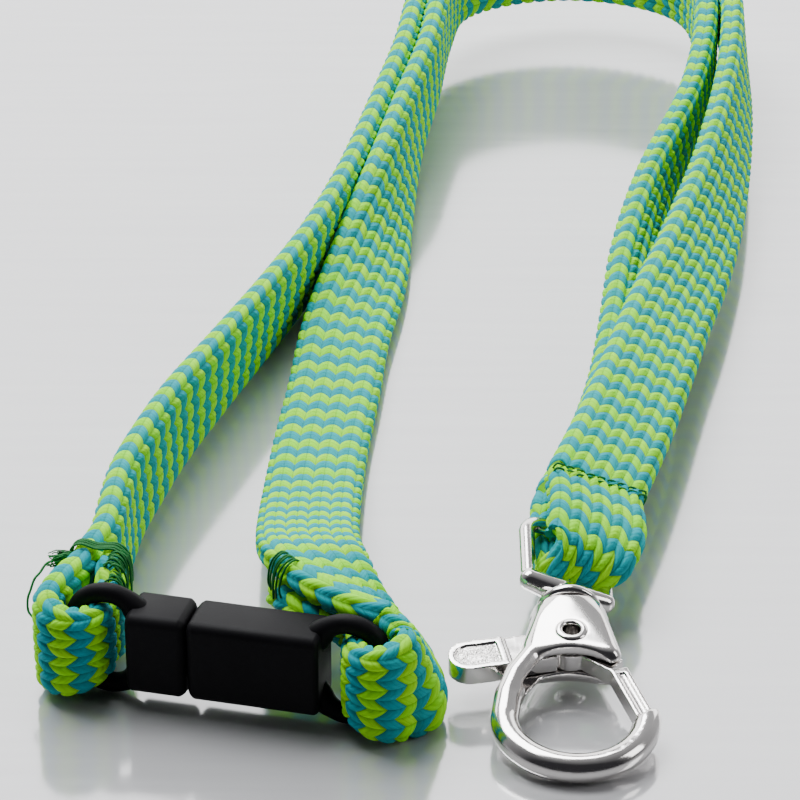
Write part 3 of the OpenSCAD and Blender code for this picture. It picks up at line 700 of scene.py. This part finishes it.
socket_stations = np.vstack([
    [[12.4, 0.2, 0.2, 0.15], [12.4, 1.5, 3.5, 0.3], [12.2, 1.8, 3.8, 0.3], [0.4, 1.8, 3.8, 0.3],
     [0.1, 2.05, 4.05, 0.4], [0.1, half_d - 1.1, half_h - 1.1, 0.6]],
    eased_end(0.1, 1, 1.0, 0.95, half_d, half_h, CORNER_R)[::-1],
    [[9, half_d, half_h, CORNER_R]],
    eased_end(SOCKET_LEN, -1, 0.7, 0.7, half_d, half_h, CORNER_R),
    [[SOCKET_LEN, half_d - 0.8, half_h - 0.8, 0.8], [SOCKET_LEN, 0.2, 0.2, 0.15]]])
socket_block = moulded_block("socket_moulding", socket_stations)


def end_ring(name, end_x, away):
    """The D ring as a rod: a quarter turn, its straight bar and a quarter turn back, with feet
    that thicken into the block."""
    top = np.radians(np.linspace(158, 0, 30))
    arc_x, arc_z, bend = 3.2, 2.2, 4.5
    upper = np.stack([arc_x + bend * np.cos(top), 0 * top, arc_z + bend * np.sin(top)], 1)
    bar_z = np.linspace(arc_z, -arc_z, 11)[1:-1]
    bar = np.stack([np.full(9, arc_x + bend), np.zeros(9), bar_z], 1)
    lower = upper[::-1] * [1, 1, -1]
    path = np.vstack([upper, bar, lower])
    foot = np.clip((1.6 - path[:, 0]) / 2.0, 0, 1)
    thick = RING_R + 0.45 * foot ** 2 * np.where(np.abs(path[:, 2]) < 6.9, 1, 0)
    thick[np.abs(path[:, 0] - arc_x - bend) < 1e-6] = RING_BAR_R
    path = path * [away, 1, 1] + [end_x, 0, 0]
    points, faces, caps, uv = rod(path, thick, (0, 1, 0), around=20)
    cap_uv = np.zeros((caps.size, 2))
    return make_piece(name, buckle_place(points), [faces, caps], np.vstack([uv, cap_uv]))


plug_ring = end_ring("plug_moulded_ring", -PLUG_LEN, -1)
socket_ring = end_ring("socket_moulded_ring", SOCKET_LEN, 1)

# Marks of handling: broad dull smears, and fine scratches that cross each other.
marks, m_in, m_out = new_group("Handling marks", {"Smear scale": 90.0, "Scratch scale": 700.0},
                               ["Smear", "Scratch"])
spot = node(marks, "TexCoord").outputs["Object"]
smear = node(marks, "TexNoise", {"Vector": spot, "Scale": m_in.outputs["Smear scale"],
                                 "Detail": 4.0, "Roughness": 0.55, "Distortion": 0.6})
marks.links.new(smear.outputs[0], m_out.inputs["Smear"])
stretched = node(marks, "Mapping", {"Vector": spot, "Scale": (1.0, 0.06, 0.35),
                                    "Rotation": (0.4, 0.2, 0.7)})
scratch = node(marks, "TexNoise", {"Vector": stretched.outputs[0], "Detail": 2.0,
                                   "Scale": m_in.outputs["Scratch scale"]})
marks.links.new(maths(marks, "POWER", scratch.outputs[0], 3.0), m_out.inputs["Scratch"])

plastic, tree, shader = new_material("black_acetal", Specular_IOR_Level=0.07)
worn = use_group(tree, marks, {"Smear scale": 140.0, "Scratch scale": 500.0})
grain_at = node(tree, "TexCoord").outputs["Object"]
grain = node(tree, "TexNoise", {"Vector": grain_at, "Scale": 4200.0, "Detail": 3.0,
                                "Roughness": 0.7})
base = mix_colour(tree, worn.outputs["Smear"], (0.0020, 0.0020, 0.0026, 1),
                  (0.0075, 0.0070, 0.0085, 1))
tree.links.new(base, shader.inputs["Base Color"])
rough = maths(tree, "ADD", maths(tree, "MULTIPLY", worn.outputs["Smear"], 0.22), 0.40)
tree.links.new(rough, shader.inputs["Roughness"])
relief = maths(tree, "ADD", maths(tree, "MULTIPLY", grain.outputs[0], 0.8),
               maths(tree, "MULTIPLY", worn.outputs["Scratch"], 0.5))
bump = node(tree, "Bump", {"Height": relief, "Strength": 0.35, "Distance": 0.00006})
tree.links.new(bump.outputs[0], shader.inputs["Normal"])

for piece, cad, body in [
        (plug_block, "plug_body", "plug"), (plug_ring, "plug_ring", "plug"),
        (socket_block, "socket_body", "lanyard"), (socket_ring, "socket_ring", "lanyard")]:
    piece.data.materials.append(plastic)
    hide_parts(cad)
    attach(piece, body)


def refinish(cad_node, finish):
    """A new finish for a CAD node whose shape stays."""
    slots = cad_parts[cad_node].data.materials
    slots.clear()
    slots.append(finish)


refinish("plug_prongs", plastic)

# ---- Swivel eye, hook and gate ------------------------------------------------------------
# Zinc castings, tumbled so that no edge is sharp, then polished and nickel plated. The eye's
# post turns in the hook's hollow body; hook, body and bend are one casting.


def casting(name, nodes, voxel, rounds):
    """Copies of CAD solids merged into one skin of small even faces, then eased: each point
    moves half way to the mean of its neighbours, rounds times over."""
    bm = bmesh.new()
    for n in nodes:
        bm.from_mesh(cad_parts[n].data)
    bmesh.ops.remove_doubles(bm, verts=bm.verts, dist=1e-6)
    raw = bpy.data.meshes.new(name + "_raw")
    bm.to_mesh(raw)
    bm.free()
    shape = bpy.data.objects.new(name + "_raw", raw)
    bpy.context.scene.collection.objects.link(shape)
    skin = shape.modifiers.new("skin", "REMESH")
    skin.mode = "VOXEL"
    skin.voxel_size = voxel
    ease = shape.modifiers.new("ease", "SMOOTH")
    ease.factor = 0.5
    ease.iterations = rounds
    bpy.context.view_layer.update()
    finished = shape.evaluated_get(bpy.context.evaluated_depsgraph_get())
    mesh = bpy.data.meshes.new_from_object(finished)
    bpy.data.objects.remove(shape)
    mesh.name = name
    mesh.materials.clear()
    mesh.polygons.foreach_set("use_smooth", np.ones(len(mesh.polygons), bool))
    piece = bpy.data.objects.new(name, mesh)
    bpy.context.scene.collection.objects.link(piece)
    return piece


nickel, tree, shader = new_material("polished_nickel", Metallic=1.0)
worn = use_group(tree, marks, {"Smear scale": 220.0, "Scratch scale": 1500.0})
tint = mix_colour(tree, worn.outputs["Smear"], (0.80, 0.77, 0.745, 1), (0.70, 0.675, 0.66, 1))
tree.links.new(tint, shader.inputs["Base Color"])
rough = maths(tree, "ADD", maths(tree, "MULTIPLY", worn.outputs["Smear"], 0.10), 0.055)
rough = maths(tree, "ADD", rough, maths(tree, "MULTIPLY", worn.outputs["Scratch"], 0.18))
tree.links.new(rough, shader.inputs["Roughness"])
flow_at = node(tree, "TexCoord").outputs["Object"]
flow = node(tree, "TexNoise", {"Vector": flow_at, "Scale": 260.0, "Detail": 1.0})
relief = maths(tree, "ADD", flow.outputs[0], maths(tree, "MULTIPLY", worn.outputs["Scratch"], 0.12))
bump = node(tree, "Bump", {"Height": relief, "Strength": 0.25, "Distance": 0.00012})
tree.links.new(bump.outputs[0], shader.inputs["Normal"])

eye_casting = casting("eye_casting", ["swivel_eye"], voxel=0.00014, rounds=8)
eye_casting.data.materials.append(nickel)
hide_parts("swivel_eye")
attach(eye_casting, "eye")

hook_casting = casting("hook_casting", ["hook_body", "hook_bend"], voxel=0.00017, rounds=40)
hook_casting.data.materials.append(nickel)
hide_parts("hook_body", "hook_bend")
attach(hook_casting, "hook")

gate_casting = casting("gate_casting", ["gate_hub", "gate_bar", "thumb_lever"],
                       voxel=0.00011, rounds=5)
gate_casting.data.materials.append(nickel)
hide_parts("gate_hub", "gate_bar", "thumb_lever")
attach(gate_casting, "gate")

refinish("swivel_post", nickel)
refinish("post_head", nickel)

# ---- Collar and rivet ---------------------------------------------------------------------
# The collar is a turned ring pressed on the body's neck. The rivet is a brass tube, plated,
# with both of its ends rolled over the body's faces.


def turned(name, profile, axis, around=96):
    """A closed outline of [radius, height] turned once round the hook's own axis: "v" up the
    hook, or "w" out of its face."""
    closed = np.vstack([profile, profile[:1]])
    p, _ = even_line(np.hstack([closed, np.zeros((len(closed), 1))]), step=0.06, between=8)
    p = p[:-1]
    phi = np.linspace(0, 2 * math.pi, around, endpoint=False)[None, :]
    r, h = p[:, 0:1], np.broadcast_to(p[:, 1:2], (len(p), around))
    a, b = r * np.cos(phi), r * np.sin(phi)
    points = np.stack([a, h, b] if axis == "v" else [a, b, h], -1).reshape(-1, 3)
    faces = outward(points, tube_faces(len(p), around, wrap_rows=True))
    return make_piece(name, hook_place(points), [faces])


collar = turned("turned_collar", np.array([
    [1.46, 7.04], [2.4, 7.02], [3.7, 7.02], [4.0, 7.1], [4.22, 7.3], [4.3, 7.6], [4.27, 7.9],
    [4.1, 8.16], [3.8, 8.32], [3.1, 8.38], [2.1, 8.38], [1.46, 8.36], [1.44, 7.7]]), "v")
RIM_W = 3.25
rivet = turned("rolled_rivet", np.array([
    [1.1, 0], [1.1, 1.5], [1.1, 2.7], [1.14, RIM_W], [1.28, RIM_W + 0.26], [1.55, RIM_W + 0.36],
    [1.9, RIM_W + 0.28], [2.12, RIM_W + 0.08], [2.16, RIM_W - 0.2], [1.7, RIM_W - 0.3],
    [1.5, RIM_W - 0.5], [1.48, 1.5], [1.48, 0], [1.48, -1.5], [1.5, 0.5 - RIM_W],
    [1.7, 0.3 - RIM_W], [2.16, 0.2 - RIM_W], [2.12, -0.08 - RIM_W], [1.9, -0.28 - RIM_W],
    [1.55, -0.36 - RIM_W], [1.28, -0.26 - RIM_W], [1.14, -RIM_W], [1.1, -2.7],
    [1.1, -1.5]]), "w")
for piece, cad in [(collar, "hook_collar"), (rivet, "rivet")]:
    piece.data.materials.append(nickel)
    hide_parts(cad)
    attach(piece, "hook")

# ---- Thumb pads ---------------------------------------------------------------------------
# The sunk floor of the lever's tab, left as cast on both faces: a sandy texture under the same
# plating, which gives the thumb its grip.

LEVER_ANGLE = math.radians(191.5)
PAD_START, PAD_END, PAD_HALF = 9.5, 13.45, 1.9
PAD_FACE = 1.13
GRIT_HEIGHT = 0.006
GRIT_WAVES = 36


def pad(side, rows=34, around=150):
    """A long rounded patch: its outline drawn in towards its middle line in even steps, and
    raised by a sum of waves of many directions that never repeats over the pad."""
    phi = np.linspace(0, 2 * math.pi, around, endpoint=False)
    square = np.abs(np.cos(phi)) ** 0.25
    out_x = np.where(np.cos(phi) < 0, PAD_END - (PAD_END - PAD_START + 0.18) * square,
                     PAD_END + PAD_HALF * np.cos(phi))
    out_y = PAD_HALF * np.sin(phi)
    q = (np.arange(rows) / (rows - 1))[:, None] ** 0.8
    mid_x = np.clip(out_x, PAD_START + 1.0, PAD_END)
    x = mid_x + (out_x - mid_x) * q
    y = out_y * q
    grit = np.zeros_like(x)
    waves = np.random.default_rng(3)
    for _ in range(GRIT_WAVES):
        kx, ky = waves.normal(0, 13, 2)
        grit += np.sin(kx * x + ky * y + waves.uniform(0, 6.28))
    w = side * (PAD_FACE + GRIT_HEIGHT * grit * np.clip((1 - q) * 6, 0, 1))
    c, s = math.cos(LEVER_ANGLE), math.sin(LEVER_ANGLE)
    points = np.stack([x * c - y * s, x * s + y * c, w], -1).reshape(-1, 3)
    faces = tube_faces(rows, around)
    return points, faces[:, ::-1] if side > 0 else faces


pad_parts = [pad(1), pad(-1)]
first = len(pad_parts[0][0])
thumb_pads = make_piece("thumb_pads", hook_place(np.vstack([p for p, _ in pad_parts])),
                        [np.vstack([pad_parts[0][1], pad_parts[1][1] + first])])
sandy, tree, shader = new_material("sand_cast_nickel", Metallic=1.0)
worn = use_group(tree, marks, {"Smear scale": 300.0, "Scratch scale": 900.0})
grit_at = node(tree, "TexCoord").outputs["Object"]
grit = node(tree, "TexVoronoi", {"Vector": grit_at, "Scale": 3800.0})
# The colour is darker in each pit of the grit: painted shade, following the bump's height.
tint = mix_colour(tree, grit.outputs["Distance"], (0.50, 0.48, 0.46, 1), (0.78, 0.75, 0.72, 1))
tree.links.new(tint, shader.inputs["Base Color"])
rough = maths(tree, "ADD", maths(tree, "MULTIPLY", worn.outputs["Smear"], 0.2), 0.26)
tree.links.new(rough, shader.inputs["Roughness"])
bump = node(tree, "Bump", {"Height": grit.outputs["Distance"], "Strength": 0.6,
                           "Distance": 0.00012})
tree.links.new(bump.outputs[0], shader.inputs["Normal"])
thumb_pads.data.materials.append(sandy)
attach(thumb_pads, "gate")

# ---- Spring -------------------------------------------------------------------------------
# Two turns of drawn steel wire in the gate's hub, almost hidden between the body's plates.

wire, tree, shader = new_material("drawn_steel", Metallic=1.0)
worn = use_group(tree, marks, {"Smear scale": 400.0, "Scratch scale": 2600.0})
tint = mix_colour(tree, worn.outputs["Scratch"], (0.42, 0.42, 0.43, 1), (0.60, 0.60, 0.61, 1))
tree.links.new(tint, shader.inputs["Base Color"])
tree.links.new(maths(tree, "ADD", maths(tree, "MULTIPLY", worn.outputs["Smear"], 0.2), 0.2),
               shader.inputs["Roughness"])
refinish("gate_spring", wire)

# ---- Table, light and camera --------------------------------------------------------------
# A pale polished table top that mirrors a little, one broad soft light far behind, one above,
# a weak one on the right, and a surround that is light behind and dark in front.

bpy.ops.mesh.primitive_plane_add(size=6.0, location=(0, 0, -0.0001))
table = bpy.context.object
table.name = "table_top"
surface, tree, shader = new_material("table_top", Specular_IOR_Level=0.6, Metallic=0.42)
table_at = node(tree, "TexCoord").outputs["Object"]
drawn = node(tree, "Mapping", {"Vector": table_at, "Scale": (8.0, 120.0, 1.0),
                               "Rotation": (0, 0, 0.12)})
streak = node(tree, "TexNoise", {"Vector": drawn.outputs[0], "Scale": 3.0, "Detail": 4.0})
tree.links.new(mix_colour(tree, streak.outputs[0], (0.56, 0.56, 0.575, 1), (0.64, 0.64, 0.65, 1)),
               shader.inputs["Base Color"])
tree.links.new(maths(tree, "ADD", maths(tree, "MULTIPLY", streak.outputs[0], 0.10), 0.07),
               shader.inputs["Roughness"])
table.data.materials.append(surface)
table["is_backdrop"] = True

world = bpy.data.worlds.new("surround")
bpy.context.scene.world = world
world.use_nodes = True
tree = world.node_tree
facing = node(tree, "SeparateXYZ", {0: node(tree, "TexCoord").outputs["Generated"]})
behind = node(tree, "MapRange", {"Value": facing.outputs[1], "From Min": -0.55, "From Max": 0.5})
tree.links.new(mix_colour(tree, behind.outputs[0], (0.035, 0.035, 0.040, 1),
                          (0.50, 0.505, 0.52, 1)), tree.nodes["Background"].inputs[0])


def soft_light(name, place, target, size, power, colour):
    """A rectangular soft box at a place, facing its target."""
    light = bpy.data.lights.new(name, "AREA")
    light.shape = "RECTANGLE"
    light.size, light.size_y = size
    light.energy = power
    light.color = colour
    lamp = bpy.data.objects.new(name, light)
    away = np.array(place) - np.array(target)
    flat = math.hypot(away[0], away[1])
    lamp.location = place
    lamp.rotation_euler = (math.atan2(flat, away[2]), 0, math.atan2(away[0], -away[1]))
    bpy.context.scene.collection.objects.link(lamp)


soft_light("back_light", (0.0, 1.45, 0.62), (0.0, 0.0, 0.1), (3.4, 1.0), 33.0, (1.0, 0.995, 0.99))
soft_light("top_light", (-0.25, 0.30, 0.85), (0.0, 0.0, 0.0), (0.8, 0.6), 19.0, (0.97, 0.985, 1.0))
soft_light("right_light", (0.75, -0.25, 0.45), (0.0, -0.08, 0.0), (0.3, 0.5), 2.2, (1.0, 1.0, 1.0))

camera = bpy.data.objects.new("camera", bpy.data.cameras.new("camera"))
camera.data.sensor_width = 36.0
camera.data.lens = 146.6
camera.data.clip_start = 0.01
camera.location = (-0.008, -0.466, 0.2288)
camera.rotation_euler = (math.radians(62.48), 0, 0)
bpy.context.scene.collection.objects.link(camera)
bpy.context.scene.camera = camera

low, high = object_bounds()
